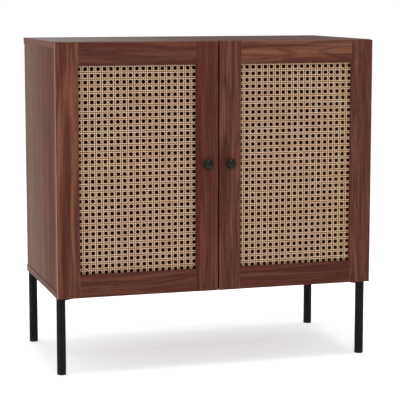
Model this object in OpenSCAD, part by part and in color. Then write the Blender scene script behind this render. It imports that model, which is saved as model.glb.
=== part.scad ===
// Two-door cane sideboard on four tube legs. Millimetres, Z up, doors towards -Y.
// The origin is on the floor, in the middle of the whole object, knobs included.

/* [Overall size] */
// Width over the carcass
width = 800; // [640:10:1000]
// Height from the floor to the top face
height = 800; // [700:10:950]
// Depth of the top, bottom and side panels
carcass_depth = 392; // [330:1:480]
// Height of the legs, from the floor to the underside of the body
leg_height = 190; // [120:5:260]

/* [Panels] */
// Thickness of the top, bottom, side and shelf boards
panel_t = 15; // [15:0.5:20]
// How far the side panels stand in from the ends of the top and bottom panels
side_inset = 1.5; // [0:0.5:3]
// Radius that eases the long edges of the boards
edge_r = 1; // [0.5:0.1:2]
// Thickness of the back panel
back_t = 3; // [2.5:0.5:5]
// Distance from the rear edges to the back panel
back_inset = 10; // [7:1:20]
// Depth of the grooves that hold the back panel
groove_depth = 7; // [4:0.5:9]
// Play of the back panel in its grooves, across and at the groove's floor
groove_play = 0.2; // [0.1:0.1:0.5]

/* [Shelf] */
// Height of the shelf's underside above the bottom panel, at the middle pin hole
shelf_rise = 282; // [200:1:360]
// Setback of the shelf behind the carcass front
shelf_setback = 22; // [10:1:40]
// Play between the shelf and each side panel
shelf_play = 1; // [0.5:0.5:2]
// Diameter of the shelf pins
pin_d = 5; // [4:0.5:6]
// Length of a shelf pin inside the panel
pin_in = 9; // [7:0.5:11]
// Length of a shelf pin under the shelf
pin_out = 8; // [6:0.5:12]
// Spacing of the pin holes
pin_pitch = 32; // [25:1:64]
// Distance of each column of pin holes from the nearest board edge
pin_column_inset = 60; // [45:1:90]

/* [Fittings] */
// Diameter of the cam locks
cam_d = 15; // [12:1:16]
// Thickness of the cam locks
cam_t = 12; // [10:0.5:13]
// Distance of the cam centres from the board ends
cam_rise = 24; // [20:1:34]
// Diameter of the cam bolts
bolt_d = 6; // [5:0.5:7]
// Length of the bolt's thread in the top or bottom panel
bolt_thread = 10; // [8:0.5:11]
// Diameter of the wooden dowels
dowel_d = 8; // [6:1:10]
// Length of the wooden dowels
dowel_len = 30; // [24:1:36]
// Depth of the dowel holes in the top and bottom panels
dowel_in_panel = 10; // [8:0.5:11]
// Distance of the bolts from the front and rear edges
bolt_inset = 42; // [35:1:50]
// Distance of the dowels from the front and rear edges
dowel_inset = 100; // [90:1:130]

/* [Doors] */
// Thickness of the door frames
door_t = 16; // [15:0.5:20]
// Gap between the closed doors and the carcass front
door_gap = 2.5; // [2.2:0.1:4]
// Gap between the two doors
centre_gap = 3; // [2:0.5:5]
// How far the top face stands above the doors
top_reveal = 1; // [0.5:0.5:5]
// How far the doors end above the underside
bottom_reveal = 0.5; // [0.5:0.5:5]
// Width of the stiles
stile_w = 55; // [52:1:75]
// Width of the rails
rail_w = 55; // [45:1:75]
// Radius of the outer edges of the door frames
frame_r = 1.5; // [1:0.1:2]
// Length of the rail tenons
tenon_len = 12; // [8:1:16]
// Thickness of the rail tenons
tenon_t = 6; // [4:0.5:7]
// Width of the rail tenons
tenon_w = 30; // [15:1:32]
// Play of the tenons in their mortises
tenon_play = 0.1; // [0.05:0.05:0.3]

/* [Cane] */
// Depth of the rebate behind the window
rebate_depth = 8; // [6:0.5:10]
// Width of the rebate around the window
rebate_w = 9; // [8:0.5:12]
// Thickness of the woven cane
cane_t = 1.6; // [1:0.1:2.5]
// Distance between neighbouring holes of the weave
cane_pitch = 15.7; // [14:0.1:20]
// Diameter of the holes
cane_hole_d = 9.2; // [7:0.1:11]
// Distance from the window's left edge to the first column of holes
cane_first_column = 2.3; // [0:0.1:7]
// Distance from the window's top edge to the first row of holes
cane_first_row = 8.4; // [5:0.1:14]
// Play around the cane and its beads in the rebate
bead_play = 0.5; // [0.2:0.1:1]

/* [Knobs] */
// Diameter of the knob's head
knob_d = 25; // [20:1:36]
// How far a knob stands out of its door
knob_projection = 19; // [17:1:30]
// How far the knobs sit above the middle of the doors
knob_rise = 7.5; // [-100:0.5:100]
// Diameter of the knob's foot
knob_foot_d = 15; // [12:1:18]
// Diameter of the knob's neck
knob_neck_d = 10; // [8:0.5:11]
// Thickness of the knob's head at its rim
knob_rim = 4.5; // [3:0.5:6]
// Diameter of the knob screw
knob_screw_d = 4; // [3:0.5:5]

/* [Hinges] */
// Distance from each door end to the middle of a hinge
hinge_inset = 80; // [76:1:120]
// Diameter of the hinge cup
cup_d = 35; // [33:1:37]
// Distance from the door's edge to the cup
cup_edge = 3; // [3:0.5:5]
// Depth of the cup in the door
cup_depth = 12; // [11:0.5:12.5]
// Wall of the cup
cup_wall = 0.8; // [0.6:0.1:0.9]
// Thickness of the cup's flange on the door
flange_t = 1; // [0.8:0.1:1.2]
// Diameter of the pivot pin
pivot_d = 2.4; // [2:0.1:2.8]
// Radial running clearance of the pivot pin in the arm's eye
pivot_play = 0.05; // [0.03:0.01:0.08]
// Radius of the eye at the end of the arm
eye_r = 2.2; // [2.1:0.1:2.4]
// Height of the arm's crescent
crescent_h = 7; // [5:0.5:8]
// Thickness of the arm's crescent
crescent_t = 2.6; // [2.2:0.1:2.8]
// Gap between the crescent's straight end and the side panel's inner face
crescent_gap = 2; // [1.5:0.1:3]
// Radius of the crescent's middle line
crescent_r = 4.6; // [4.2:0.1:5]
// Distance of the plate screws behind the carcass front
plate_setback = 37; // [34:1:50]
// Distance between the two screws of a mounting plate
plate_screw_pitch = 32; // [28:1:36]
// Thickness of the mounting plate's wings
plate_t = 2; // [1.5:0.1:3]

/* [Legs] */
// Diameter of the leg tubes
leg_d = 22; // [18:1:25]
// Wall of the leg tubes
leg_wall = 1.5; // [1:0.1:2.5]
// Distance of the leg axes from the side faces
leg_inset_x = 13; // [13:1:40]
// Distance of the leg axes from the carcass front and back
leg_inset_y = 13; // [13:1:40]
// Height of the plastic foot below the tube
foot_h = 9; // [5:1:15]
// Length of the foot's plug inside the tube
foot_plug = 14; // [8:1:25]
// Thickness of the corner plate
plate_leg_t = 3; // [2:0.5:5]
// Length of a corner plate's sides
plate_leg_w = 62; // [60:1:80]
// How far the gussets reach below the corner plate
gusset_h = 6; // [4:0.5:12]
// Distance from the leg's axis to the end of a gusset
gusset_len = 44; // [30:1:46]
// Thickness of the gussets
gusset_t = 3; // [2:0.5:4]

/* [Hidden] */

$fn = 48;
eps = 0.01;
// Diametral play of screws, bolts, dowels and pins in their holes
fit = 0.1;
// Diametral play of screws in the pieces that they clamp
loose_fit = 0.5;
// How far a cut reaches past the face that it opens
over = 1;
// Free depth behind the end of a dowel, bolt or pin in its hole
end_play = 0.5;

// Planes across the depth, front to back
total_depth = knob_projection + door_t + door_gap + carcass_depth;
door_y = -total_depth / 2 + knob_projection;
door_back_y = door_y + door_t;
carcass_y = door_back_y + door_gap;
rear_y = total_depth / 2;
back_y = rear_y - back_inset - back_t;

// Levels, floor to top
top_z = height - panel_t;
bottom_z = leg_height + panel_t;
inner_u = side_inset + panel_t;
inner_w = width - 2 * inner_u;
side_mid = side_inset + panel_t / 2;
inner_h = top_z - bottom_z;
shelf_z = bottom_z + shelf_rise;
shelf_gap_behind = 2;
shelf_depth = back_y - carcass_y - shelf_setback - shelf_gap_behind;

// Doors, drawn for the left one, in x from its hinge edge
door_z = leg_height + bottom_reveal;
door_h = height - top_reveal - door_z;
door_w = (width - centre_gap) / 2;
window_w = door_w - 2 * stile_w;
window_h = door_h - 2 * rail_w;
window_z = door_z + rail_w;
cane_y = door_back_y - rebate_depth;
cane_margin = rebate_w - bead_play;
mortise_depth = tenon_len + 1;

// Hinge, in u from the side face inwards and v from the door's front face backwards
cup_u = cup_edge + cup_d / 2;
cup_floor_v = door_t - cup_depth + cup_wall;
cup_clear = 0.1;
eye_to_wall = 0.8;
eye_to_floor = 1;
pivot_u = cup_edge + cup_wall + eye_r + eye_to_wall;
pivot_v = cup_floor_v + eye_r + eye_to_floor;
boss_r = eye_r + 0.4;
boss_gap = 0.3;
boss_len = 10;
pivot_len = 16;
shank_u = inner_u + crescent_gap + crescent_t / 2;
crescent_drop = 1;
carcass_v = door_t + door_gap;
arm_web_t = 1.6;
rail_half_h = 6;
wing_half = 8;
rail_rise = 10;
rail_front = 24;
rail_back = 22;
arm_setback = 6;
arm_tail = 26;
arm_front_v = carcass_v + arm_setback;
arm_back_v = carcass_v + plate_setback + arm_tail;
arm_side_t = 1.6;
flange_w = 24;
flange_h = 60;
flange_shift = 4;
cup_screw_pitch = 48;
cup_screw_shift = 6;
cup_screw_d = 3.5;
cup_screw_len = 11;
cup_screw_head = [6.5, 1];
plate_screw_d = 4;
plate_screw_len = 11;
plate_screw_head = [7.5, 1.8];
arm_screw_d = 5;
arm_screw_len = 8;
arm_screw_head = [8, 2];
arm_screw_front = 14;
arm_screw_back = 12;
hinge_levels = [door_z + hinge_inset, door_z + door_h - hinge_inset];

// Legs
tube_top_z = leg_height - plate_leg_t;
bracket_edge = 2;
bracket_screw_d = 4.5;
bracket_screw_len = 12;
bracket_screw_near = 24;
bracket_screw_far = 54;
bracket_corner_r = 6;
bracket_screw_head = [9, 2.5];
foot_edge_r = 1.5;
plug_chamfer = 1;

// Knob, in heights above the door's front face
knob_foot_h = 2;
knob_foot_chamfer = 1;
knob_neck_low = 3.5;
knob_neck_high = 5.5;
knob_head_low = 8;
knob_head_undercut = 2;
knob_screw_in = 12;
knob_screw_head = [8, 2.4];

// Small fittings
bolt_thread_d = bolt_d - 1;
bolt_hole_d = bolt_d + 2;
cam_slot = 1.5;
bead_bevel = 0.5;
bumper_d = 8;
bumper_t = door_gap - 0.3;
bumper_inset = 12;

// An outline with eased corners, as a list of points
function rounded(w, h, r, steps = 5) = [
    for (corner = [[w - r, h - r, 0], [r, h - r, 90], [r, r, 180], [w - r, r, 270]])
        for (k = [0:steps - 1])
            let (a = corner[2] + 90 * k / (steps - 1))
                [corner[0] + r * cos(a), corner[1] + r * sin(a)]
];

// A board with its long edges eased, lying along X
module board_x(length, depth, t) {
    rotate([90, 0, 90]) linear_extrude(length) polygon(rounded(depth, t, edge_r));
}

// A board with its long edges eased, standing along Z
module board_z(w, depth, length) {
    linear_extrude(length) polygon(rounded(w, depth, edge_r));
}

// Two crossing slots, cut downwards from z = 0
module cross_slots(length, w, depth) {
    for (turn = [0, 90]) rotate(turn) translate([-length / 2, -w / 2, -depth])
        cube([length, w, depth + over]);
}

// A pan head with a cross recess, from z = 0 upwards; size holds its diameter and height
module screw_head(size) {
    d = size[0];
    h = size[1];
    difference() {
        union() {
            cylinder(h = h / 2, d = d);
            translate([0, 0, h / 2]) cylinder(h = h / 2, d1 = d, d2 = 0.8 * d);
        }
        translate([0, 0, h]) cross_slots(d / 2, d / 8, 0.6 * h);
    }
}

module on_both_sides() {
    children();
    mirror([1, 0, 0]) children();
}

// Places a hinge's local frame (u, v, height) on the left side of the object
module at_left_hinges() {
    for (z = hinge_levels) translate([-width / 2, door_y, z]) children();
}

// Front and rear positions that the fittings share
function front_and_rear(inset) = [carcass_y + inset, rear_y - inset];

// Carcass

// Holes that both the top and the bottom panel take, drilled up from z = 0
module end_joint_holes() {
    on_both_sides() {
        for (y = front_and_rear(bolt_inset)) translate([width / 2 - side_mid, y, -eps])
            cylinder(h = bolt_thread + end_play, d = bolt_thread_d + fit);
        for (y = front_and_rear(dowel_inset)) translate([width / 2 - side_mid, y, -eps])
            cylinder(h = dowel_in_panel + end_play, d = dowel_d + fit);
    }
}

module panel_groove() {
    translate([-inner_w / 2 - groove_depth, back_y - groove_play / 2, -eps])
        cube([inner_w + 2 * groove_depth, back_t + groove_play, groove_depth + eps]);
}

module top_panel() {
    color("saddlebrown") difference() {
        translate([-width / 2, carcass_y, top_z]) board_x(width, carcass_depth, panel_t);
        translate([0, 0, top_z]) end_joint_holes();
        translate([0, 0, top_z]) panel_groove();
    }
}

module bottom_panel() {
    color("saddlebrown") difference() {
        translate([-width / 2, carcass_y, leg_height]) board_x(width, carcass_depth, panel_t);
        translate([0, 0, bottom_z]) mirror([0, 0, 1]) end_joint_holes();
        translate([0, 0, bottom_z]) mirror([0, 0, 1]) panel_groove();
        at_bracket_screws() cylinder(h = bracket_screw_len, d = bracket_screw_d + fit);
    }
}

// The holes at one end of a side panel, for an end at z = 0 with the panel above it
module side_end_holes() {
    for (y = front_and_rear(bolt_inset)) {
        translate([-width / 2 + side_mid, y, -eps]) cylinder(h = cam_rise, d = bolt_hole_d);
        translate([-inner_w / 2 - cam_t - fit, y, cam_rise])
            rotate([0, 90, 0]) cylinder(h = cam_t + over, d = cam_d + fit);
    }
    for (y = front_and_rear(dowel_inset)) translate([-width / 2 + side_mid, y, -eps])
        cylinder(h = dowel_len - dowel_in_panel + end_play, d = dowel_d + fit);
}

module left_side() {
    color("sienna") difference() {
        translate([-width / 2 + side_inset, carcass_y, bottom_z]) board_z(panel_t, carcass_depth, inner_h);
        translate([0, 0, bottom_z]) side_end_holes();
        translate([0, 0, top_z]) mirror([0, 0, 1]) side_end_holes();
        translate([-inner_w / 2 - groove_depth, back_y - groove_play / 2, bottom_z - eps])
            cube([groove_depth + over, back_t + groove_play, inner_h + over]);
        for (y = front_and_rear(pin_column_inset)) for (row = [-1:1])
            translate([-inner_w / 2 - pin_in, y, shelf_z - pin_d / 2 + row * pin_pitch])
                rotate([0, 90, 0]) cylinder(h = pin_in + over, d = pin_d + fit);
        at_left_hinges() at_plate_screws() translate([inner_u - plate_screw_len + plate_t - end_play, 0, 0])
            rotate([0, 90, 0]) cylinder(h = plate_screw_len + over, d = plate_screw_d + fit);
    }
}

module left_side_panel() left_side();

module right_side_panel() mirror([1, 0, 0]) left_side();

module back_panel() {
    reach = groove_depth - groove_play;
    color("dimgray") translate([-inner_w / 2 - reach, back_y, bottom_z - reach])
        cube([inner_w + 2 * reach, back_t, inner_h + 2 * reach]);
}

module shelf() {
    color("saddlebrown") translate([-inner_w / 2 + shelf_play, carcass_y + shelf_setback, shelf_z])
        board_x(inner_w - 2 * shelf_play, shelf_depth, panel_t);
}

module shelf_pins() {
    color("silver") on_both_sides() for (y = front_and_rear(pin_column_inset))
        translate([-inner_w / 2 - pin_in + end_play, y, shelf_z - pin_d / 2]) rotate([0, 90, 0])
            cylinder(h = pin_in - end_play + pin_out, d = pin_d);
}

// Cam locks and bolts at one end, for an end at z = 0 with the side panel above it
module end_cams() {
    on_both_sides() for (y = front_and_rear(bolt_inset))
        translate([-inner_w / 2 - cam_t, y, cam_rise]) difference() {
            rotate([0, 90, 0]) cylinder(h = cam_t, d = cam_d);
            translate([cam_t - panel_t / 2 - bolt_d / 2 - fit, -bolt_d / 2 - fit, -cam_d])
                cube([bolt_d + 2 * fit, bolt_d + 2 * fit, cam_d + bolt_d / 2]);
            translate([cam_t, 0, 0]) rotate([0, 90, 0]) cross_slots(cam_d * 2 / 3, cam_slot, cam_slot);
        }
}

module end_bolts() {
    on_both_sides() for (y = front_and_rear(bolt_inset))
        translate([-width / 2 + side_mid, y, 0]) {
            translate([0, 0, -bolt_thread]) cylinder(h = bolt_thread + eps, d = bolt_thread_d);
            cylinder(h = cam_rise, d = bolt_d);
        }
}

module end_dowels() {
    on_both_sides() for (y = front_and_rear(dowel_inset))
        translate([-width / 2 + side_mid, y, -dowel_in_panel]) cylinder(h = dowel_len, d = dowel_d);
}

// Repeats what joins the side panels to the bottom and to the top panel
module at_both_ends() {
    translate([0, 0, bottom_z]) children();
    translate([0, 0, top_z]) mirror([0, 0, 1]) children();
}

module cam_locks() color("silver") at_both_ends() end_cams();

module cam_bolts() color("silver") at_both_ends() end_bolts();

module wood_dowels() color("burlywood") at_both_ends() end_dowels();

// Door frames

// The rebate that takes the cane, around the window of the left door
module cane_rebate() {
    translate([-width / 2 + stile_w - rebate_w, cane_y, window_z - rebate_w])
        cube([window_w + 2 * rebate_w, rebate_depth + over, window_h + 2 * rebate_w]);
}

// A tenon or, with play, its mortise, growing towards +X from x = 0 at mid-rail height
module tenon(length, play) {
    translate([-eps, door_t / 2 - tenon_t / 2 - play, -tenon_w / 2 - play])
        cube([length + eps, tenon_t + 2 * play, tenon_w + 2 * play]);
}

// The heights of the rails' tenons, clear of the rebate
tenon_levels = [
    door_z + (rail_w - rebate_w) / 2,
    door_z + door_h - (rail_w - rebate_w) / 2
];

module stile_blank(x) {
    translate([x, door_y, door_z]) linear_extrude(door_h) polygon(rounded(stile_w, door_t, frame_r));
}

module left_door_hinge_stile() {
    color("sienna") difference() {
        union() {
            stile_blank(-width / 2);
            // The inner long edge is square, so that the rails meet it without a groove
            translate([-width / 2 + stile_w / 2, door_y, door_z]) cube([stile_w / 2, door_t, door_h]);
        }
        cane_rebate();
        for (z = tenon_levels) translate([-width / 2 + stile_w, door_y, z]) mirror([1, 0, 0])
            tenon(mortise_depth, tenon_play);
        at_left_hinges() {
            translate([cup_u, door_t - cup_depth - cup_clear, 0]) rotate([-90, 0, 0])
                cylinder(h = cup_depth + over, d = cup_d + 2 * cup_clear);
            at_cup_screws() translate([0, door_t - cup_screw_len, 0]) rotate([-90, 0, 0])
                cylinder(h = cup_screw_len + over, d = cup_screw_d + fit);
        }
    }
}

module left_door_meeting_stile() {
    x = -width / 2 + door_w - stile_w;
    color("sienna") difference() {
        union() {
            stile_blank(x);
            translate([x, door_y, door_z]) cube([stile_w / 2, door_t, door_h]);
        }
        cane_rebate();
        for (z = tenon_levels) translate([x, door_y, z]) tenon(mortise_depth, tenon_play);
        at_left_knob() translate([0, 0, -door_t - over])
            cylinder(h = door_t + 2 * over, d = knob_screw_d + loose_fit);
    }
}

// A rail of the left door: its outer edges are eased at the door's end only
module left_door_rail(z, tenon_z) {
    x = -width / 2 + stile_w;
    color("sienna") difference() {
        union() {
            translate([x, door_y, z]) rotate([90, 0, 90]) linear_extrude(window_w)
                polygon(rounded(door_t, rail_w, frame_r));
            translate([x, door_y, window_side(z)]) cube([window_w, door_t, rail_w / 2]);
            translate([x + window_w, door_y, tenon_z]) tenon(tenon_len, 0);
            translate([x, door_y, tenon_z]) mirror([1, 0, 0]) tenon(tenon_len, 0);
        }
        cane_rebate();
    }
}

// The level of the half of a rail that faces the window
function window_side(z) = z < window_z ? z + rail_w / 2 : z;

module left_door_top_rail() left_door_rail(window_z + window_h, tenon_levels[1]);

module left_door_bottom_rail() left_door_rail(door_z, tenon_levels[0]);

// Cane

cane_columns = floor((window_w - cane_first_column) / cane_pitch) + 1;
cane_rows = floor((window_h - cane_first_row) / cane_pitch) + 1;

// The woven sheet, from the window's lower left corner; both doors show it in the same phase
module cane_sheet(x) {
    color("burlywood") translate([x, cane_y + cane_t, window_z]) rotate([90, 0, 0])
        linear_extrude(cane_t) difference() {
            translate([-cane_margin, -cane_margin])
                square([window_w + 2 * cane_margin, window_h + 2 * cane_margin]);
            translate([cane_first_column, window_h - cane_first_row])
                for (column = [0:cane_columns - 1]) for (row = [0:cane_rows - 1])
                    translate([column * cane_pitch, -row * cane_pitch]) circle(d = cane_hole_d, $fn = 16);
        }
}

module left_cane_panel() cane_sheet(-width / 2 + stile_w);

module right_cane_panel() cane_sheet(centre_gap / 2 + stile_w);

// Four strips that hold the cane in the rebate of the left door
module left_door_beads() {
    t = rebate_depth - cane_t - bead_play;
    w = rebate_w - bead_play;
    section = [[0, 0], [w, 0], [w, t * bead_bevel], [w - t * bead_bevel, t], [0, t]];
    x0 = -width / 2 + stile_w - w;
    x1 = x0 + window_w + 2 * w;
    z0 = window_z - w;
    z1 = window_z + window_h + w;
    color("sienna") {
        translate([x0, cane_y + cane_t, z0]) linear_extrude(z1 - z0) polygon(section);
        translate([x1, cane_y + cane_t, z0]) linear_extrude(z1 - z0) mirror([1, 0, 0]) polygon(section);
        translate([x0 + w, cane_y + cane_t, z0]) bead_across(window_w, section);
        translate([x0 + w, cane_y + cane_t, z1]) mirror([0, 0, 1]) bead_across(window_w, section);
    }
}

// A bead that lies along X, with its section's width upwards
module bead_across(length, section) {
    rotate([0, 90, 0]) mirror([1, 0, 0]) linear_extrude(length) polygon(section);
}

// Knobs

// The point on the door's front face where the left knob sits, with +Z out of the door
module at_left_knob() {
    translate([-centre_gap / 2 - stile_w / 2, door_y, door_z + door_h / 2 + knob_rise])
        rotate([90, 0, 0]) children();
}

module left_door_knob() {
    head_r = knob_d / 2;
    foot_r = knob_foot_d / 2;
    neck_r = knob_neck_d / 2;
    dome_low = knob_head_low + knob_rim / 2;
    steps = 8;
    profile = concat(
        [[0, 0], [foot_r - knob_foot_chamfer, 0], [foot_r, knob_foot_chamfer], [foot_r, knob_foot_h]],
        [[neck_r, knob_neck_low], [neck_r, knob_neck_high], [head_r - knob_head_undercut, knob_head_low]],
        [for (k = [0:steps]) let (a = 90 * k / steps)
            [head_r * cos(a), dome_low + (knob_projection - dome_low) * sin(a)]]
    );
    color("darkslategray") at_left_knob() difference() {
        rotate_extrude() polygon(profile);
        translate([0, 0, -eps]) cylinder(h = knob_screw_in, d = knob_screw_d + fit);
    }
}

module left_door_knob_screw() {
    color("silver") at_left_knob() {
        translate([0, 0, -door_t - eps]) cylinder(h = door_t + knob_screw_in - end_play, d = knob_screw_d);
        translate([0, 0, -door_t]) mirror([0, 0, 1]) screw_head(knob_screw_head);
    }
}

// Hinges: each child of at_left_hinges() is drawn in (u, v, height)

module at_cup_screws() {
    for (side = [-1, 1]) translate([cup_u + cup_screw_shift, 0, side * cup_screw_pitch / 2]) children();
}

module at_plate_screws() {
    for (side = [-1, 1]) translate([0, carcass_v + plate_setback, side * plate_screw_pitch / 2]) children();
}

// The cup with its flange, and the two bosses that hold the pivot pin
module hinge_cup() {
    inner_r = cup_d / 2 - cup_wall;
    difference() {
        union() {
            translate([cup_u, door_t - cup_depth, 0]) rotate([-90, 0, 0])
                cylinder(h = cup_depth + flange_t, d = cup_d);
            translate([cup_u + flange_shift - flange_w / 2, door_t, -flange_h / 2])
                cube([flange_w, flange_t, flange_h]);
        }
        difference() {
            translate([cup_u, cup_floor_v, 0]) rotate([-90, 0, 0])
                cylinder(h = cup_depth + flange_t, r = inner_r);
            for (side = [-1, 1]) translate([0, 0, side * (crescent_h / 2 + boss_gap + boss_len / 2)])
                pivot_boss(boss_len);
        }
        translate([pivot_u, pivot_v, -pivot_len / 2]) cylinder(h = pivot_len, d = pivot_d);
        at_cup_screws() translate([0, door_t - over, 0]) rotate([-90, 0, 0])
            cylinder(h = flange_t + 2 * over, d = cup_screw_d + loose_fit);
    }
}

// A boss around the pivot that stands on the cup's floor
module pivot_boss(length) {
    translate([pivot_u, pivot_v, -length / 2]) cylinder(h = length, r = boss_r);
    translate([pivot_u - boss_r, 0, -length / 2]) cube([2 * boss_r, pivot_v, length]);
}

module left_hinge_cups() color("silver") at_left_hinges() hinge_cup();

module left_hinge_pins() {
    color("gainsboro") at_left_hinges() translate([pivot_u, pivot_v, -pivot_len / 2])
        cylinder(h = pivot_len, d = pivot_d);
}

module left_cup_screws() {
    color("silver") at_left_hinges() at_cup_screws() {
        translate([0, door_t + flange_t - cup_screw_len, 0]) rotate([-90, 0, 0])
            cylinder(h = cup_screw_len, d = cup_screw_d);
        translate([0, door_t + flange_t, 0]) rotate([-90, 0, 0]) screw_head(cup_screw_head);
    }
}

// The arm's crescent: an eye on the pin, a bar along the cup's floor, and a bend that leads out of the cup
module crescent_outline() {
    band_v = pivot_v - crescent_drop;
    bend_u = shank_u - crescent_r;
    bend_v = band_v + crescent_r;
    half = crescent_t / 2;
    translate([pivot_u, pivot_v]) circle(r = eye_r);
    translate([pivot_u, band_v - half]) square([bend_u - pivot_u, crescent_t]);
    intersection() {
        translate([bend_u, bend_v]) difference() {
            circle(r = crescent_r + half);
            circle(r = crescent_r - half);
        }
        translate([bend_u, band_v - half]) square([crescent_r + half, crescent_r + half]);
    }
    translate([shank_u - half, bend_v]) square([crescent_t, arm_front_v - bend_v + over]);
}

// The arm: the crescent, and a channel that sits over the mounting plate's rail
module hinge_arm() {
    u0 = inner_u + plate_t + fit;
    u1 = inner_u + plate_t + rail_rise + fit;
    half_h = rail_half_h + fit + arm_side_t;
    arm_len = arm_back_v - arm_front_v;
    difference() {
        union() {
            translate([0, 0, -crescent_h / 2]) linear_extrude(crescent_h) crescent_outline();
            translate([u0, arm_front_v, -half_h]) cube([u1 - u0 + arm_web_t, arm_len, 2 * half_h]);
        }
        translate([pivot_u, pivot_v, -crescent_h]) cylinder(h = 2 * crescent_h, d = pivot_d + 2 * pivot_play);
        translate([u0 - over, arm_front_v + arm_web_t, -rail_half_h - fit])
            cube([u1 - u0 + over, arm_len, 2 * (rail_half_h + fit)]);
        at_arm_screws() translate([u1 - over, 0, 0]) rotate([0, 90, 0])
            cylinder(h = arm_web_t + 2 * over, d = arm_screw_d + loose_fit);
    }
}

module at_arm_screws() {
    for (shift = [-arm_screw_front, arm_screw_back]) translate([0, carcass_v + plate_setback + shift, 0])
        children();
}

module left_hinge_arms() color("silver") at_left_hinges() hinge_arm();

// The mounting plate: two wings that are screwed to the side panel, and a rail for the arm
module mounting_plate() {
    v = carcass_v + plate_setback;
    wing = plate_screw_pitch / 2 + wing_half;
    difference() {
        union() {
            translate([inner_u, v - wing_half, -wing]) cube([plate_t, 2 * wing_half, 2 * wing]);
            translate([inner_u, v - rail_front, -rail_half_h])
                cube([plate_t + rail_rise, rail_front + rail_back, 2 * rail_half_h]);
        }
        at_plate_screws() translate([inner_u - over, 0, 0]) rotate([0, 90, 0])
            cylinder(h = plate_t + 2 * over, d = plate_screw_d + loose_fit);
        at_arm_screws() translate([inner_u + plate_t + rail_rise - arm_screw_len, 0, 0]) rotate([0, 90, 0])
            cylinder(h = arm_screw_len + over, d = arm_screw_d + fit);
    }
}

module left_mounting_plates() color("silver") at_left_hinges() mounting_plate();

module left_plate_screws() {
    color("gainsboro") at_left_hinges() at_plate_screws() {
        translate([inner_u + plate_t - plate_screw_len, 0, 0]) rotate([0, 90, 0])
            cylinder(h = plate_screw_len, d = plate_screw_d);
        translate([inner_u + plate_t, 0, 0]) rotate([0, 90, 0]) screw_head(plate_screw_head);
    }
}

module left_arm_screws() {
    u = inner_u + plate_t + rail_rise + fit + arm_web_t;
    color("gainsboro") at_left_hinges() at_arm_screws() {
        translate([u - arm_web_t - arm_screw_len + end_play, 0, 0]) rotate([0, 90, 0])
            cylinder(h = arm_screw_len + arm_web_t - end_play, d = arm_screw_d);
        translate([u, 0, 0]) rotate([0, 90, 0]) screw_head(arm_screw_head);
    }
}

// Soft pads on the back of the left door, over the front edges of the top and bottom panels
module left_bumpers() {
    color("white") for (z = [leg_height + panel_t / 2, top_z + panel_t / 2])
        translate([-centre_gap / 2 - bumper_inset, door_back_y, z]) rotate([-90, 0, 0])
            cylinder(h = bumper_t, d = bumper_d);
}

module right_hinge_stile() mirror([1, 0, 0]) left_door_hinge_stile();
module right_meeting_stile() mirror([1, 0, 0]) left_door_meeting_stile();
module right_top_rail() mirror([1, 0, 0]) left_door_top_rail();
module right_bottom_rail() mirror([1, 0, 0]) left_door_bottom_rail();
module right_cane_beads() mirror([1, 0, 0]) left_door_beads();
module right_knob() mirror([1, 0, 0]) left_door_knob();
module right_knob_screw() mirror([1, 0, 0]) left_door_knob_screw();
module right_hinge_cups() mirror([1, 0, 0]) left_hinge_cups();
module right_hinge_pins() mirror([1, 0, 0]) left_hinge_pins();
module right_cup_screws() mirror([1, 0, 0]) left_cup_screws();
module right_bumpers() mirror([1, 0, 0]) left_bumpers();
module right_hinge_arms() mirror([1, 0, 0]) left_hinge_arms();
module right_mounting_plates() mirror([1, 0, 0]) left_mounting_plates();
module right_plate_screws() mirror([1, 0, 0]) left_plate_screws();
module right_arm_screws() mirror([1, 0, 0]) left_arm_screws();

// Legs

// Places a corner's local frame, whose x and y run inwards from the carcass corner
module at_corner(right, rear) {
    translate([right ? width / 2 : -width / 2, rear ? rear_y : carcass_y, 0])
        mirror([right ? 1 : 0, 0, 0]) mirror([0, rear ? 1 : 0, 0]) children();
}

module leg(right, rear) {
    color("black") at_corner(right, rear) translate([leg_inset_x, leg_inset_y, foot_h]) difference() {
        cylinder(h = tube_top_z - foot_h, d = leg_d);
        translate([0, 0, -over]) cylinder(h = tube_top_z, d = leg_d - 2 * leg_wall);
    }
}

// A corner plate with two tapered gussets beside the leg
module bracket(right, rear) {
    gusset = [[0, 0], [gusset_len, 0], [leg_d / 2, -gusset_h], [0, -gusset_h]];
    color("black") at_corner(right, rear) difference() {
        union() {
            translate([bracket_edge, bracket_edge, tube_top_z]) linear_extrude(plate_leg_t)
                polygon(rounded(plate_leg_w, plate_leg_w, bracket_corner_r));
            translate([leg_inset_x, leg_inset_y + gusset_t / 2, tube_top_z]) rotate([90, 0, 0])
                linear_extrude(gusset_t) polygon(gusset);
            translate([leg_inset_x - gusset_t / 2, leg_inset_y, tube_top_z]) rotate([90, 0, 90])
                linear_extrude(gusset_t) polygon(gusset);
        }
        translate([leg_inset_x, leg_inset_y, tube_top_z - gusset_h - over])
            cylinder(h = gusset_h + over, d = leg_d);
        bracket_screw_places() translate([0, 0, tube_top_z - over])
            cylinder(h = plate_leg_t + 2 * over, d = bracket_screw_d + loose_fit);
    }
}

module bracket_screw_places() {
    near = bracket_screw_near;
    far = bracket_screw_far;
    for (place = [[far, near], [near, far], [far, far]]) translate([place[0], place[1], 0]) children();
}

// The places of all the bracket screws, at the underside of the body
module at_bracket_screws() {
    for (right = [false, true]) for (rear = [false, true])
        at_corner(right, rear) bracket_screw_places() translate([0, 0, leg_height - eps]) children();
}

module bracket_screws() {
    color("dimgray") at_bracket_screws() {
        translate([0, 0, -plate_leg_t])
            cylinder(h = plate_leg_t + bracket_screw_len - end_play, d = bracket_screw_d);
        translate([0, 0, -plate_leg_t]) mirror([0, 0, 1]) screw_head(bracket_screw_head);
    }
}

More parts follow.
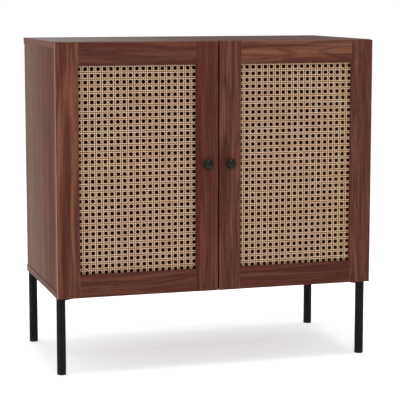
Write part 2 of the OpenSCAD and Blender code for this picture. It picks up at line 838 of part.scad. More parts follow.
// A plastic foot: a rounded cap under the tube and a plug inside it
module foot(right, rear) {
    r = leg_d / 2;
    plug_r = r - leg_wall - fit;
    edge_x = r - foot_edge_r;
    profile = concat(
        [[0, 0], [edge_x, 0]],
        [for (a = [-60:30:0]) [edge_x + foot_edge_r * cos(a), foot_edge_r + foot_edge_r * sin(a)]],
        [[r, foot_h], [plug_r, foot_h], [plug_r, foot_h + foot_plug - plug_chamfer]],
        [[plug_r - plug_chamfer, foot_h + foot_plug], [0, foot_h + foot_plug]]
    );
    color("black") at_corner(right, rear) translate([leg_inset_x, leg_inset_y, 0])
        rotate_extrude() polygon(profile);
}

top_panel();
bottom_panel();
left_side_panel();
right_side_panel();
back_panel();
shelf();
shelf_pins();
cam_locks();
cam_bolts();
wood_dowels();
left_door_hinge_stile();  // left_hinge_stile
left_door_meeting_stile();  // left_meeting_stile
left_door_top_rail();  // left_top_rail
left_door_bottom_rail();  // left_bottom_rail
left_cane_panel();
left_door_beads();  // left_cane_beads
left_door_knob();  // left_knob
left_door_knob_screw();  // left_knob_screw
left_hinge_cups();
left_hinge_pins();
left_cup_screws();
left_bumpers();
right_hinge_stile();
right_meeting_stile();
right_top_rail();
right_bottom_rail();
right_cane_panel();
right_cane_beads();
right_knob();
right_knob_screw();
right_hinge_cups();
right_hinge_pins();
right_cup_screws();
right_bumpers();
left_hinge_arms();
left_mounting_plates();
left_plate_screws();
left_arm_screws();
right_hinge_arms();
right_mounting_plates();
right_plate_screws();
right_arm_screws();
leg(false, false);  // front_left_leg
leg(true, false);  // front_right_leg
leg(false, true);  // rear_left_leg
leg(true, true);  // rear_right_leg
bracket(false, false);  // front_left_bracket
bracket(true, false);  // front_right_bracket
bracket(false, true);  // rear_left_bracket
bracket(true, true);  // rear_right_bracket
foot(false, false);  // front_left_foot
foot(true, false);  // front_right_foot
foot(false, true);  // rear_left_foot
foot(true, true);  // rear_right_foot
bracket_screws();
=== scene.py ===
"""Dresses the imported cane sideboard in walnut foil, woven cane, powder coat and nickel.

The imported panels, rails, legs and fastenings keep their shapes and take their finishes here.
The cane in the two doors is woven strand by strand in place of the plain perforated sheets.
"""
import logging
import math
from dataclasses import dataclass, field
from enum import Enum

import bpy
import numpy as np
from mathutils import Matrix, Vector


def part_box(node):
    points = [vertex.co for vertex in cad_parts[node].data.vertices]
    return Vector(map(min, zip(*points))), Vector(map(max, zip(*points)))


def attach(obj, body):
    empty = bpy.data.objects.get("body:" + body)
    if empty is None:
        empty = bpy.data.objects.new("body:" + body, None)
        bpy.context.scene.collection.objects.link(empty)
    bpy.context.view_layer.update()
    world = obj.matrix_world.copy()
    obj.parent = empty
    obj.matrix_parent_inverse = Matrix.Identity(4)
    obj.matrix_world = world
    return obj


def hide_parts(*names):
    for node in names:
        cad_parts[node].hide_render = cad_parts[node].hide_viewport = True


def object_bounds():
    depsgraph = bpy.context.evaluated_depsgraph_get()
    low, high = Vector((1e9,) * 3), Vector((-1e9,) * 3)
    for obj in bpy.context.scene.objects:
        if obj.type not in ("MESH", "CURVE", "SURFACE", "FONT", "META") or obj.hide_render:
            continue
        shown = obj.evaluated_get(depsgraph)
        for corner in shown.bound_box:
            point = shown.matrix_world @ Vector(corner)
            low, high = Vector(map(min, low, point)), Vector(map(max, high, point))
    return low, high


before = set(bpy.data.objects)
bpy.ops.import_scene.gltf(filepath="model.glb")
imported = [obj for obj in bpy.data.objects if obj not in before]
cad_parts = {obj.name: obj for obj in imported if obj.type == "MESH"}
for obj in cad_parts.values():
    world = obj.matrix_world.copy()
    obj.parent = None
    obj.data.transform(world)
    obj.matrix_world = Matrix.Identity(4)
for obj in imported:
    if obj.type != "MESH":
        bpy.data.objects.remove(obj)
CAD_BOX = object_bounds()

LOG = logging.getLogger("sideboard")
MM = 0.001
CANE_SEED = 40
Tree = bpy.types.NodeTree
Socket = bpy.types.NodeSocket
Pair = tuple[float, float]
Triple = tuple[float, float, float]
LEFTWARD, RIGHTWARD, UPWARD = (-1.0, 0.0, 0.0), (1.0, 0.0, 0.0), (0.0, 0.0, 1.0)
# Ranges of a shader's values: most of a noise, only its peaks, and a sine wave's crests.
NOISE_SPAN = {"From Min": 0.3, "From Max": 0.7}
PEAK_SPAN = {"From Min": 0.6, "From Max": 0.72}
CREST_SPAN = {"From Min": 0.3, "From Max": 1.0}
# The cosine between a face's normal and a direction, from looking elsewhere to looking that way.
FACING_SPAN = {"From Min": 0.6, "From Max": 0.8}


def linear_colour(code: str) -> tuple[float, float, float, float]:
    """Turns an sRGB hex colour into the linear colour that a shader takes.

    Args:
        code: the colour, such as "#5d332a"

    Returns:
        Red, green, blue and an alpha of 1, in linear light.
    """
    parts = [int(code[i:i + 2], 16) / 255 for i in (1, 3, 5)]
    red, green, blue = [c / 12.92 if c <= 0.04045 else ((c + 0.055) / 1.055) ** 2.4 for c in parts]
    return red, green, blue, 1.0


def feed(tree: Tree, node: bpy.types.Node, inputs: dict) -> None:
    """Sets a node's inputs.

    Args:
        tree: the material's node tree
        node: the node
        inputs: by input name or number, a value or the output socket that feeds it
    """
    for name, value in inputs.items():
        if isinstance(value, Socket):
            tree.links.new(value, node.inputs[name])
        else:
            node.inputs[name].default_value = value


def add_node(
    tree: Tree, kind: str, inputs: dict | None = None, ramp: list | None = None, **settings: object
) -> bpy.types.Node:
    """Adds one shader node with its settings and links.

    Args:
        tree: the material's node tree
        kind: the node's type without its first word, such as "TexNoise"
        inputs: by input name or number, a value or the output socket that feeds it
        ramp: for a colour ramp, its stops as (place, hex colour), from low to high
        settings: the node's own properties

    Returns:
        The new node.
    """
    node = tree.nodes.new("ShaderNode" + kind)
    for name, value in settings.items():
        setattr(node, name, value)
    if ramp:
        stops = node.color_ramp.elements
        for stop, (place, code) in zip((stops[0], stops[1]), (ramp[0], ramp[-1])):
            stop.position = place
            stop.color = linear_colour(code)
        for place, code in ramp[1:-1]:
            stops.new(place).color = linear_colour(code)
    feed(tree, node, inputs or {})
    return node


def blotches(
    tree: Tree, place: Socket, size_mm: Triple, detail: float, output: str = "Fac", **inputs: float
) -> Socket:
    """Lays out a pattern of soft blotches that have a real size on each axis.

    Args:
        tree: the material's node tree
        place: the coordinates that it reads, in metres
        size_mm: the blotches' size on each axis, in millimetres
        detail: how many octaves of finer noise it holds
        output: "Fac" for one value at each point, "Color" for three
        inputs: further inputs of the noise, by name

    Returns:
        The pattern.
    """
    scale = tuple(1 / (size * MM) for size in size_mm)
    stretched = add_node(tree, "Mapping", {"Vector": place, "Scale": scale}).outputs[0]
    shape = {"Vector": stretched, "Scale": 1.0, "Detail": detail, **inputs}
    return add_node(tree, "TexNoise", shape).outputs[output]


def new_material(name: str) -> tuple[bpy.types.Material, Tree, bpy.types.Node]:
    """Makes an empty node material.

    Args:
        name: the finish's name

    Returns:
        The material, its node tree and its Principled shader.
    """
    material = bpy.data.materials.new(name)
    material.use_nodes = True
    tree = material.node_tree
    return material, tree, tree.nodes["Principled BSDF"]


class Grain(Enum):
    """The axis along which a board's printed grain runs."""

    CROSSWISE = 0
    UPRIGHT = 2


class Side(Enum):
    """The two halves of the sideboard, as seen from the front."""

    LEFT = "left"
    RIGHT = "right"


@dataclass(frozen=True)
class WalnutFoil:
    """Reddish walnut print on paper foil, wrapped round particle board and lacquered matt.

    The print gives wavering streaks in three tones, growth rings that open into flat arches, and short
    dark pores. The lacquer is so matt that only a slanting look shows a grey sheen. Painted light lies over
    the print: a paler band is a painted highlight on the doors' top faces and a painted sheen on their outer
    edges, and it keeps the top panel's ends out of that panel's painted shade. A painted grey sheen greys
    the side panels and the bottom panel's ends towards the rear and the top panel's top face towards the
    left, and painted shade darkens the shelf's print and its front and rear edges.
    """

    name: str
    grain: Grain
    seed: float
    warmth: float = 0.3
    figure: float = 0.3
    # Painted light over the print: the shares of its colour at the two ends of an axis, the axis, the faces
    # that take it and how far across it reaches.
    painted_light_share: Pair = (0.0, 0.0)
    painted_light_axis: int = 1
    painted_light_face: int = 0
    painted_light_end: float = 1.0
    # Bands of painted light: the direction of the faces that take each band, and its largest share.
    painted_light_bands: tuple[tuple[Triple, float], ...] = ()
    dark: str = "#482720"
    mid: str = "#5d352d"
    light: str = "#74493f"
    orange: str = "#845441"
    # The colour of the gradient of painted light, grey for a sheen and near black for the shelf's shade,
    # then the colour of the bands of painted light.
    painted_light_colour: str = "#7d6c5f"
    painted_light_band: str = "#95766c"
    pore: str = "#25100c"
    # The corner at which the pattern starts, for each metre of the seed.
    seed_path: Triple = (1.0, 1.7, 0.6)
    # Each size in millimetres is the width across the grain, then the length along it.
    streak_mm: Pair = (3.0, 230.0)
    flow_mm: Pair = (22.0, 800.0)
    glow_mm: Pair = (14.0, 420.0)
    ring_field_mm: Pair = (46.0, 700.0)
    wander_field_mm: Pair = (90.0, 300.0)
    # Real pores are a fifth of a millimetre wide; they are drawn coarser so that they show.
    pore_mm: Pair = (1.3, 26.0)
    pore_depth_mm: float = 0.05
    pore_share: float = 0.5
    wander_mm: float = 26.0
    flow_share: float = 0.6
    tone_span: Pair = (0.56, 1.04)
    # The warmer the foil, the lower its orange patches start in their noise and the stronger they get.
    glow_span: Pair = (0.6, 0.72)
    glow_reach: float = 0.2
    glow_base: float = 0.2
    ring_phase: float = 58.0
    ring_detail: float = 0.6
    roughness: Pair = (0.5, 0.62)
    gloss_level: float = 0.03

    def streaks(
        self, tree: Tree, place: Socket, size_mm: Pair, detail: float, output: str = "Fac", **inputs: float
    ) -> Socket:
        """Lays out blotches that are stretched along the grain.

        Args:
            tree: the material's node tree
            place: the coordinates that they read
            size_mm: their width across the grain and length along it
            detail: how many octaves of finer noise they hold
            output: "Fac" for one value at each point, "Color" for three
            inputs: further inputs of the noise, by name

        Returns:
            The pattern.
        """
        across, along = size_mm
        sizes = tuple(along if axis == self.grain.value else across for axis in range(3))
        return blotches(tree, place, sizes, detail, output, **inputs)

    def wavering(self, tree: Tree, place: Socket) -> Socket:
        """Starts the pattern at the seed's place and pushes it aside by a slow noise.

        Args:
            tree: the material's node tree
            place: the Object coordinates

        Returns:
            The coordinates that the print reads.
        """
        corner = tuple(self.seed * step for step in self.seed_path)
        start = add_node(tree, "Mapping", {"Vector": place, "Location": corner}).outputs[0]
        drift = self.streaks(tree, start, self.wander_field_mm, 1.0, "Color")
        middle = {0: drift, 1: (0.5, 0.5, 0.5)}
        centred = add_node(tree, "VectorMath", middle, operation="SUBTRACT").outputs[0]
        reach = {0: centred, "Scale": self.wander_mm * MM}
        wander = add_node(tree, "VectorMath", reach, operation="SCALE").outputs[0]
        return add_node(tree, "VectorMath", {0: start, 1: wander}, operation="ADD").outputs[0]

    def toned(self, tree: Tree, grain: Socket, streak: Socket) -> Socket:
        """Colours the streaks, the warm patches and the growth rings.

        The tone is the fine streak noise plus a share of a broad one. The rings are the sine of a slow
        field, so they close round its peaks as arches.

        Args:
            tree: the material's node tree
            grain: the coordinates that the print reads
            streak: the fine streak noise

        Returns:
            The print's colour.
        """
        flow = self.streaks(tree, grain, self.flow_mm, 1.0)
        sums = {0: flow, 1: self.flow_share, 2: streak}
        tone = add_node(tree, "Math", sums, operation="MULTIPLY_ADD").outputs[0]
        low, high = self.tone_span
        level = add_node(tree, "MapRange", {"Value": tone, "From Min": low, "From Max": high}).outputs[0]
        stops = [(0.05, self.dark), (0.5, self.mid), (0.95, self.light)]
        base = add_node(tree, "ValToRGB", {"Fac": level}, stops).outputs["Color"]
        patch = self.streaks(tree, grain, self.glow_mm, 1.0)
        start, full = self.glow_span
        start, most = start - self.glow_reach * self.warmth, self.glow_base + self.warmth
        warm = {"Value": patch, "From Min": start, "From Max": full, "To Max": most}
        glow = add_node(tree, "MapRange", warm).outputs[0]
        orange = linear_colour(self.orange)
        warmed = add_node(tree, "Mix", {0: glow, 6: base, 7: orange}, data_type="RGBA").outputs[2]
        hills = self.streaks(tree, grain, self.ring_field_mm, self.ring_detail)
        phase = add_node(tree, "Math", {0: hills, 1: self.ring_phase}, operation="MULTIPLY").outputs[0]
        wave = add_node(tree, "Math", {0: phase}, operation="SINE").outputs[0]
        crest = {"Value": wave, **CREST_SPAN, "To Max": self.figure}
        ring = add_node(tree, "MapRange", crest).outputs[0]
        dark = linear_colour(self.dark)
        return add_node(tree, "Mix", {0: ring, 6: warmed, 7: dark}, data_type="RGBA").outputs[2]

    def paint_light_gradient(self, tree: Tree, place: Socket, normal: Socket, colour: Socket) -> Socket:
        """Lays a gradient of painted light over the print: a grey sheen, and on the shelf a dark shade.

        The painted colour's share goes by a smooth step from its first value, at the cabinet's low end along
        the chosen axis, to its second one, at the chosen share of the way across. Only the faces square to
        the chosen face axis take it.

        Args:
            tree: the material's node tree
            place: the Object coordinates
            normal: the surface's direction
            colour: the print's colour

        Returns:
            The colour with its painted light.
        """
        reach = add_node(tree, "SeparateXYZ", {0: place}).outputs[self.painted_light_axis]
        near, far = (corner[self.painted_light_axis] for corner in CAD_BOX)
        end = near + (far - near) * self.painted_light_end
        first, second = self.painted_light_share
        span = {"Value": reach, "From Min": near, "From Max": end, "To Min": first, "To Max": second}
        share = add_node(tree, "MapRange", span, interpolation_type="SMOOTHSTEP").outputs[0]
        square = add_node(tree, "SeparateXYZ", {0: normal}).outputs[self.painted_light_face]
        broad = add_node(tree, "Math", {0: square}, operation="ABSOLUTE").outputs[0]
        painted_share = add_node(tree, "Math", {0: share, 1: broad}, operation="MULTIPLY").outputs[0]
        painted_light_colour = linear_colour(self.painted_light_colour)
        return add_node(tree, "Mix", {0: painted_share, 6: colour, 7: painted_light_colour}, data_type="RGBA").outputs[2]

    def paint_light_bands(self, tree: Tree, normal: Socket, colour: Socket) -> Socket:
        """Lays each band of painted light over the faces that look its way.

        Args:
            tree: the material's node tree
            normal: the surface's direction
            colour: the print's colour

        Returns:
            The colour with its bands.
        """
        painted_light_band = linear_colour(self.painted_light_band)
        for direction, most in self.painted_light_bands:
            look = add_node(tree, "VectorMath", {0: normal, 1: direction}, operation="DOT_PRODUCT")
            facing = {"Value": look.outputs["Value"], **FACING_SPAN, "To Max": most}
            share = add_node(tree, "MapRange", facing).outputs[0]
            colour = add_node(tree, "Mix", {0: share, 6: colour, 7: painted_light_band}, data_type="RGBA").outputs[2]
        return colour

    def make(self) -> bpy.types.Material:
        """Builds the foil on Object coordinates, with its print and pores, and the painted light of its
        gradient and bands.

        Returns:
            The foil's material.
        """
        material, tree, shader = new_material(self.name)
        coordinates = add_node(tree, "TexCoord")
        place, normal = coordinates.outputs["Object"], coordinates.outputs["Normal"]
        grain = self.wavering(tree, place)
        streak = self.streaks(tree, grain, self.streak_mm, 3.0, Roughness=0.6)
        toned = self.toned(tree, grain, streak)
        pore = self.streaks(tree, grain, self.pore_mm, 1.0)
        gap = {"Value": pore, **PEAK_SPAN, "To Max": self.pore_share}
        open_pore = add_node(tree, "MapRange", gap).outputs[0]
        bottom = linear_colour(self.pore)
        colour = add_node(tree, "Mix", {0: open_pore, 6: toned, 7: bottom}, data_type="RGBA").outputs[2]
        # Painted light: the gradient of painted sheen or shade, then the bands of painted highlight and
        # sheen.
        if any(self.painted_light_share):
            colour = self.paint_light_gradient(tree, place, normal, colour)
        colour = self.paint_light_bands(tree, normal, colour)
        low, high = self.roughness
        span = {"Value": streak, **NOISE_SPAN, "To Min": low, "To Max": high}
        gloss = add_node(tree, "MapRange", span).outputs[0]
        dent = {"Height": open_pore, "Strength": 0.4, "Distance": self.pore_depth_mm * MM}
        relief = add_node(tree, "Bump", dent, invert=True).outputs[0]
        feed(tree, shader, {
            "Base Color": colour, "Roughness": gloss, "Normal": relief,
            "IOR": 1.5, "Specular IOR Level": self.gloss_level,
        })
        return material


@dataclass(frozen=True)
class CaneBark:
    """Peeled rattan bark, split and planed into strands and left natural.

    The bark side is crowned, pale and a little glossy, and each strand has its own tone. Towards its edges
    and on its back the strand is painted darker brown, as shade on its flanks.
    """

    name: str = "natural_cane"
    pale: str = "#ffe9cb"
    sand: str = "#fbd7b0"
    tan: str = "#edbf8d"
    fibre: str = "#a9743a"
    # Painted shade on the strands' flanks and backs.
    edge_shade: str = "#582200"
    # The strand's map is two-dimensional, so the third size has no effect.
    fibre_mm: Triple = (0.35, 9.0, 1000.0)
    patch_mm: Triple = (8.0, 60.0, 1000.0)
    fibre_span: Pair = (0.35, 0.7)
    fibre_share: float = 0.24
    tone_span: Pair = (0.55, 1.45)
    # Where on the crown the painted shade of the edges gives way to the bark.
    rim_shade_span: Pair = (0.15, 0.85)
    relief_mm: float = 0.04
    roughness: Pair = (0.38, 0.6)

    def make(self) -> bpy.types.Material:
        """Builds the bark on each strand's own tone, crown and length.

        Returns:
            The cane's material.
        """
        material, tree, shader = new_material(self.name)
        tone = add_node(tree, "Attribute", attribute_name="tone").outputs["Fac"]
        crown = add_node(tree, "Attribute", attribute_name="crown").outputs["Fac"]
        along = add_node(tree, "UVMap", uv_map="strand").outputs["UV"]
        fibre = blotches(tree, along, self.fibre_mm, 2.0)
        patch = blotches(tree, along, self.patch_mm, 1.0)
        mixed = add_node(tree, "Math", {0: tone, 1: patch}, operation="ADD").outputs[0]
        low, high = self.tone_span
        shade = add_node(tree, "MapRange", {"Value": mixed, "From Min": low, "From Max": high}).outputs[0]
        stops = [(0.1, self.tan), (0.5, self.sand), (0.9, self.pale)]
        bark = add_node(tree, "ValToRGB", {"Fac": shade}, stops).outputs["Color"]
        low, high = self.fibre_span
        streak = {"Value": fibre, "From Min": low, "From Max": high, "To Max": self.fibre_share}
        streaked = add_node(tree, "MapRange", streak).outputs[0]
        brown = linear_colour(self.fibre)
        fibrous = add_node(tree, "Mix", {0: streaked, 6: bark, 7: brown}, data_type="RGBA").outputs[2]
        # Painted shade: the strand darkens from its crown towards its edges and back.
        low, high = self.rim_shade_span
        slope = {"Value": crown, "From Min": low, "From Max": high, "To Min": 1.0, "To Max": 0.0}
        rim_shade = add_node(tree, "MapRange", slope).outputs[0]
        edge_shade = linear_colour(self.edge_shade)
        coloured = add_node(tree, "Mix", {0: rim_shade, 6: fibrous, 7: edge_shade}, data_type="RGBA").outputs[2]
        ridge = {"Height": fibre, "Strength": 0.35, "Distance": self.relief_mm * MM}
        relief = add_node(tree, "Bump", ridge).outputs[0]
        low, high = self.roughness
        gloss = add_node(tree, "MapRange", {"Value": fibre, "To Min": low, "To Max": high}).outputs[0]
        feed(tree, shader, {
            "Base Color": coloured, "Roughness": gloss, "Normal": relief,
            "IOR": 1.46, "Specular IOR Level": 0.25,
        })
        return material


@dataclass(frozen=True)
class FittingFinish:
    """A fitting's coated, plated, cast or moulded surface: a fine grit, and slow clouds in its tone."""

    name: str
    colour: str
    shade: str
    metallic: float
    roughness: Pair
    grit_mm: Triple
    relief_mm: float
    gloss_level: float = 0.5
    cloud_mm: Triple = (35.0, 35.0, 35.0)

    def make(self) -> bpy.types.Material:
        """Builds the surface's grit and clouds on Object coordinates.

        Returns:
            The surface's material.
        """
        material, tree, shader = new_material(self.name)
        place = add_node(tree, "TexCoord").outputs["Object"]
        grit = blotches(tree, place, self.grit_mm, 2.0)
        cloud = blotches(tree, place, self.cloud_mm, 2.0)
        blotch = add_node(tree, "MapRange", {"Value": cloud, **NOISE_SPAN}).outputs[0]
        tones = {0: blotch, 6: linear_colour(self.shade), 7: linear_colour(self.colour)}
        coloured = add_node(tree, "Mix", tones, data_type="RGBA").outputs[2]
        low, high = self.roughness
        span = {"Value": grit, **NOISE_SPAN, "To Min": low, "To Max": high}
        gloss = add_node(tree, "MapRange", span).outputs[0]
        peel = {"Height": grit, "Strength": 0.5, "Distance": self.relief_mm * MM}
        relief = add_node(tree, "Bump", peel).outputs[0]
        feed(tree, shader, {
            "Base Color": coloured, "Roughness": gloss, "Normal": relief,
            "Metallic": self.metallic, "Specular IOR Level": self.gloss_level,
        })
        return material


@dataclass(frozen=True)
class PressedBoard:
    """Thin hardboard, pressed from brown fibres.

    The inner face is lacquered a dark red brown, made darker still as painted shade for the inside of the
    cabinet; the outer one is left bare, so its fibres show as brown flecks and clouds.
    """

    name: str = "hardboard"
    # The inner face's lacquer, deepened as painted shade for the inside of the cabinet.
    lacquer: str = "#300f07"
    lacquer_fleck: str = "#431a10"
    bare: str = "#674936"
    bare_fleck: str = "#7c5b44"
    fibre_mm: Triple = (3.0, 3.0, 3.0)
    cloud_mm: Triple = (60.0, 60.0, 60.0)
    cloud_share: float = 0.35
    mottle_span: Pair = (0.4, 0.95)
    # How far a face looks to the rear, from the inner finish to the outer one.
    rear_span: Pair = (0.4, 0.6)
    relief_mm: float = 0.1

    def make(self) -> bpy.types.Material:
        """Builds the fibre flecks on Object coordinates; the outer face is the one that faces the rear.

        Returns:
            The board's material.
        """
        material, tree, shader = new_material(self.name)
        coordinates = add_node(tree, "TexCoord")
        place, normal = coordinates.outputs["Object"], coordinates.outputs["Normal"]
        fibre = blotches(tree, place, self.fibre_mm, 4.0, Distortion=1.2)
        cloud = blotches(tree, place, self.cloud_mm, 3.0)
        sums = {0: cloud, 1: self.cloud_share, 2: fibre}
        felt = add_node(tree, "Math", sums, operation="MULTIPLY_ADD").outputs[0]
        low, high = self.mottle_span
        mottle = add_node(tree, "MapRange", {"Value": felt, "From Min": low, "From Max": high}).outputs[0]
        inner = [(0.35, self.lacquer), (0.7, self.lacquer_fleck)]
        dark = add_node(tree, "ValToRGB", {"Fac": fibre}, inner).outputs["Color"]
        outer = [(0.1, self.bare), (0.9, self.bare_fleck)]
        brown = add_node(tree, "ValToRGB", {"Fac": mottle}, outer).outputs["Color"]
        facing = add_node(tree, "SeparateXYZ", {0: normal}).outputs["Y"]
        low, high = self.rear_span
        outside = add_node(tree, "MapRange", {"Value": facing, "From Min": low, "From Max": high}).outputs[0]
        coloured = add_node(tree, "Mix", {0: outside, 6: dark, 7: brown}, data_type="RGBA").outputs[2]
        nap = {"Height": fibre, "Strength": 0.4, "Distance": self.relief_mm * MM}
        relief = add_node(tree, "Bump", nap).outputs[0]
        feed(tree, shader, {
            "Base Color": coloured, "Roughness": 0.62, "Normal": relief, "Specular IOR Level": 0.05,
        })
        return material


@dataclass(frozen=True)
class TurnedBeech:
    """Plain beech, turned into dowels: pale, with fine upright fibres."""

    name: str = "turned_beech"
    colour: str = "#c79d6c"
    fleck: str = "#a87c4d"
    fibre_mm: Triple = (0.625, 0.625, 5.56)

    def make(self) -> bpy.types.Material:
        """Builds the beech's flecks on Object coordinates.

        Returns:
            The dowels' material.
        """
        material, tree, shader = new_material(self.name)
        place = add_node(tree, "TexCoord").outputs["Object"]
        fibre = blotches(tree, place, self.fibre_mm, 3.0)
        stops = [(0.35, self.fleck), (0.6, self.colour)]
        coloured = add_node(tree, "ValToRGB", {"Fac": fibre}, stops).outputs["Color"]
        feed(tree, shader, {"Base Color": coloured, "Roughness": 0.6})
        return material


@dataclass(frozen=True)
class SoftPad:
    """Clear polyurethane, cast into small self-adhesive domes: milky, soft and faintly yellow."""

    name: str = "clear_bumper"
    colour: str = "#e9e6da"
    haze_mm: Triple = (2.0, 2.0, 2.0)
    roughness: Pair = (0.15, 0.35)

    def make(self) -> bpy.types.Material:
        """Builds the milky haze on Object coordinates.

        Returns:
            The pad's material.
        """
        material, tree, shader = new_material(self.name)
        place = add_node(tree, "TexCoord").outputs["Object"]
        haze = blotches(tree, place, self.haze_mm, 1.0)
        low, high = self.roughness
        gloss = add_node(tree, "MapRange", {"Value": haze, "To Min": low, "To Max": high}).outputs[0]
        feed(tree, shader, {
            "Base Color": linear_colour(self.colour), "Roughness": gloss,
            "IOR": 1.48, "Transmission Weight": 0.6,
        })
        return material


# Polyester powder baked on steel: black and matt, with a faint orange peel.
POWDER_COAT = FittingFinish(
    "black_powder_coat", "#171614", "#11100e", 0.0, (0.5, 0.62), (0.9, 0.9, 0.9), 0.04, 0.1
)
# Sprayed lacquer on a turned knob: smoother than the legs, so it holds a soft highlight.
KNOB_LACQUER = FittingFinish(
    "black_knob_lacquer", "#0f1a13", "#09100b", 0.0, (0.25, 0.33), (0.6, 0.6, 0.6), 0.01, 0.2
)
# Moulded polypropylene: a dull, slightly pebbled black.
MOULDED_BLACK = FittingFinish(
    "moulded_black_plastic", "#161616", "#0f0f0f", 0.0, (0.55, 0.7), (0.5, 0.5, 0.5), 0.03, 0.2
)
# Nickel plated on rolled strip: bright, with the fine lines of the rolling.
NICKEL = FittingFinish(
    "nickel_plated_steel", "#c4c0b8", "#a9a59d", 1.0, (0.2, 0.36), (0.4, 6.0, 0.4), 0.006
)
# Zinc left as it was cast: grey, dull and mottled.
CAST_ZINC = FittingFinish("cast_zinc", "#a8a7a3", "#8e8d8a", 1.0, (0.42, 0.6), (0.5, 0.5, 0.5), 0.02)


def paint(node: str, material: bpy.types.Material) -> None:
    """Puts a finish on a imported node, which keeps its shape.

    Args:
        node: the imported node's name
        material: its finish
    """
    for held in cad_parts[node].material_slots:
        held.material = material
    LOG.info("finished %s as %s", node, material.name)


def side_foil(name: str, seed: float) -> WalnutFoil:
    """Gives a side panel's foil, with a painted grey sheen that grows towards the rear."""
    return WalnutFoil(
        name, Grain.UPRIGHT, seed, 0.2, painted_light_share=(0.0, 0.5), dark="#3d1911", mid="#5a2d22", light="#7f4b3c"
    )


def carcass_foils() -> dict[str, WalnutFoil]:
    """Chooses the foils of the body's panels. The shelf's print is darkened and its front and rear edges are
    nearly black: painted shade for the inside of the cabinet.

    Returns:
        Each panel's foil, by its node.
    """
    end_light_bands = ((LEFTWARD, 0.85), (RIGHTWARD, 0.85))
    return {
        # The top panel's print is darker than the other foils: painted shade that offsets the overhead key.
        # A painted grey sheen lies on its top face towards the left, and its end faces take a paler band
        # that keeps them out of the painted shade.
        "top_panel": WalnutFoil(
            "foil_top", Grain.CROSSWISE, 1.3,
            painted_light_share=(0.38, 0.0), painted_light_axis=0, painted_light_face=2, painted_light_end=0.62, painted_light_colour="#888b89",
            painted_light_bands=end_light_bands, painted_light_band="#6d4038",
            dark="#321a17", mid="#432823", light="#52352e", gloss_level=0.08,
        ),
        # The bottom panel's end faces take a painted grey sheen towards the rear, as the side panels do.
        "bottom_panel": WalnutFoil("foil_bottom", Grain.CROSSWISE, 2.9, painted_light_share=(0.1, 0.5)),
        "left_side_panel": side_foil("foil_left_side", 4.1),
        "right_side_panel": side_foil("foil_right_side", 5.7),
        # Painted shade for the inside of the cabinet: a darker print and nearly black front and rear edges.
        "shelf": WalnutFoil(
            "foil_shelf", Grain.CROSSWISE, 7.3, painted_light_share=(0.6, 0.6), painted_light_face=1, painted_light_colour="#180b08",
            dark="#3a1d17", mid="#4b2821", light="#5d372e",
        ),
    }


@dataclass
class Carcass:
    """The body: top, bottom, two sides, back and shelf, with the cams, bolts, dowels and pins."""

    foils: dict[str, WalnutFoil] = field(default_factory=carcass_foils)

    def dress(self) -> None:
        """Finishes every piece of the body."""
        for node, foil in self.foils.items():
            paint(node, foil.make())
        paint("back_panel", PressedBoard().make())
        paint("wood_dowels", TurnedBeech().make())
        paint("cam_locks", CAST_ZINC.make())
        nickel = NICKEL.make()
        for node in ("cam_bolts", "shelf_pins"):
            paint(node, nickel)


@dataclass
class LegSet:
    """Four tube legs with their brackets, feet and screws."""

    corners: tuple[str, ...] = ("front_left", "front_right", "rear_left", "rear_right")

    def dress(self) -> None:
        """Finishes the legs, brackets and screws in powder coat and the feet as moulded plastic."""
        coat = POWDER_COAT.make()
        plastic = MOULDED_BLACK.make()
        for corner in self.corners:
            paint(corner + "_leg", coat)
            paint(corner + "_bracket", coat)
            paint(corner + "_foot", plastic)
        paint("bracket_screws", coat)


